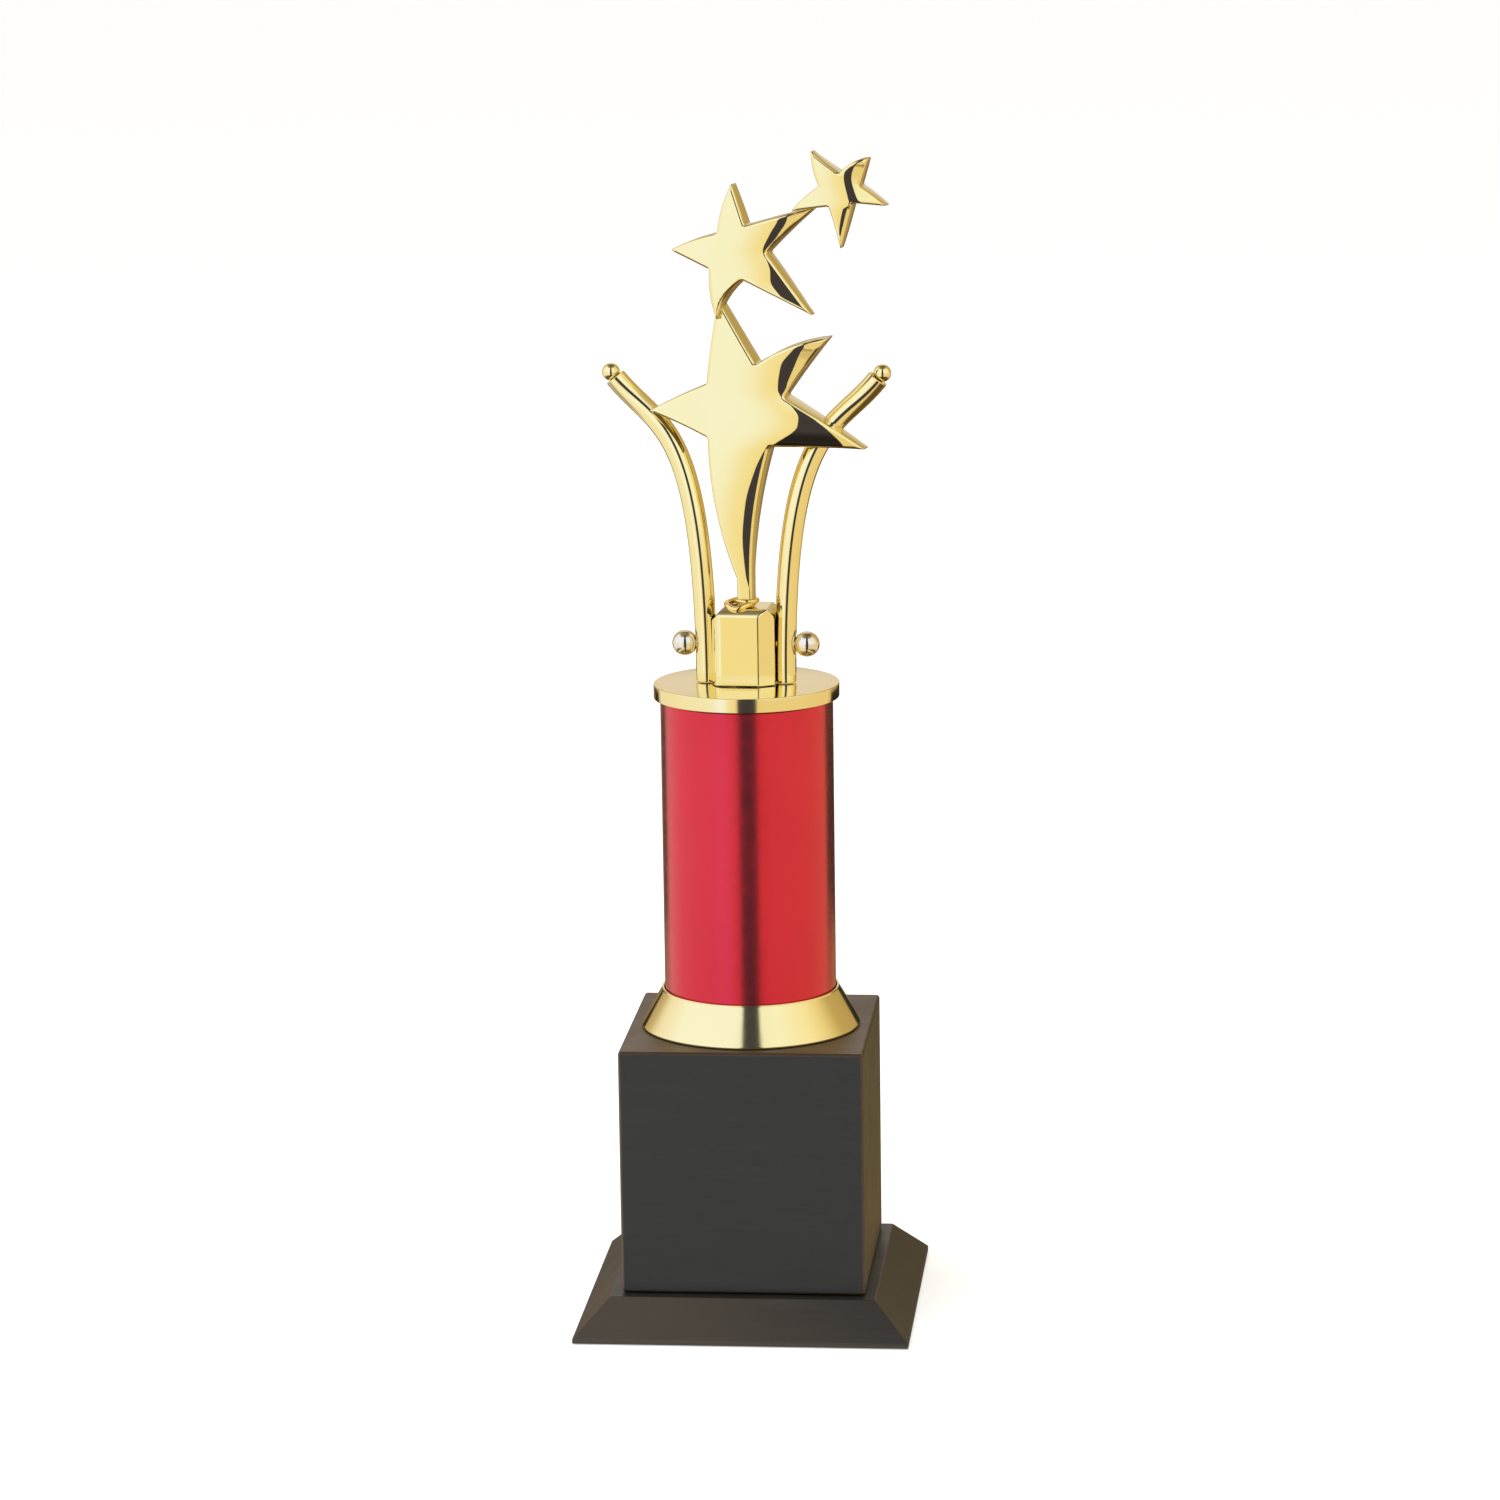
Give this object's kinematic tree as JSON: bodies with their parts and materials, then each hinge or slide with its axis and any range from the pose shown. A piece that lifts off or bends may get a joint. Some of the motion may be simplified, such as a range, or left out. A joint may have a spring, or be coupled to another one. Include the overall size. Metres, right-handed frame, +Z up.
{
  "type": "star trophy",
  "caption": "Star trophy: overlapping gold star plates between two curved arms on a red column, with a gold foot ring, a dark wooden cube and a flared base.",
  "frame": {"origin": "centre of the felt pad's underside, on the surface that the trophy stands on", "axes": "+Z up along the tie rod, +X to the right as the plain front of the cube is faced, -Y out of that front"},
  "size_m": [0.0984, 0.0984, 0.3446],
  "materials": {
    "polished_gold": "mirror-polished gold plating",
    "polished_steel": "mirror-polished steel balls",
    "zinc_plated_steel": "dull zinc plating on hidden hardware",
    "red_lacquer": "glossy transparent red lacquer over bright metal",
    "black_plastic": "moulded, matte, hidden",
    "dark_wood": "satin black-brown lacquer over fine grain",
    "beech": "plain turned dowel, hidden",
    "green_felt": "short-napped felt"
  },
  "bodies": {
    "root": {"felt_pad": "green_felt", "flared_base": "dark_wood", "wooden_cube": "dark_wood", "left_dowel": "beech", "right_dowel": "beech", "tie_rod": "zinc_plated_steel", "tie_rod_washer": "zinc_plated_steel", "tie_rod_nut": "zinc_plated_steel", "flared_foot_ring": "polished_gold", "column_tube": "red_lacquer", "tube_bottom_plug": "black_plastic", "tube_top_plug": "black_plastic", "top_disc": "polished_gold", "figure_block": "polished_gold", "left_arm_rod": "polished_gold", "left_arm_finial": "polished_gold", "left_ball_screw": "polished_steel", "right_arm_rod": "polished_gold", "right_arm_finial": "polished_gold", "right_ball_screw": "polished_steel", "leg_collar": "polished_gold", "large_star": "polished_gold", "medium_star": "polished_gold", "small_star": "polished_gold", "leg_stud": "zinc_plated_steel"}
  },
  "joints": []
}
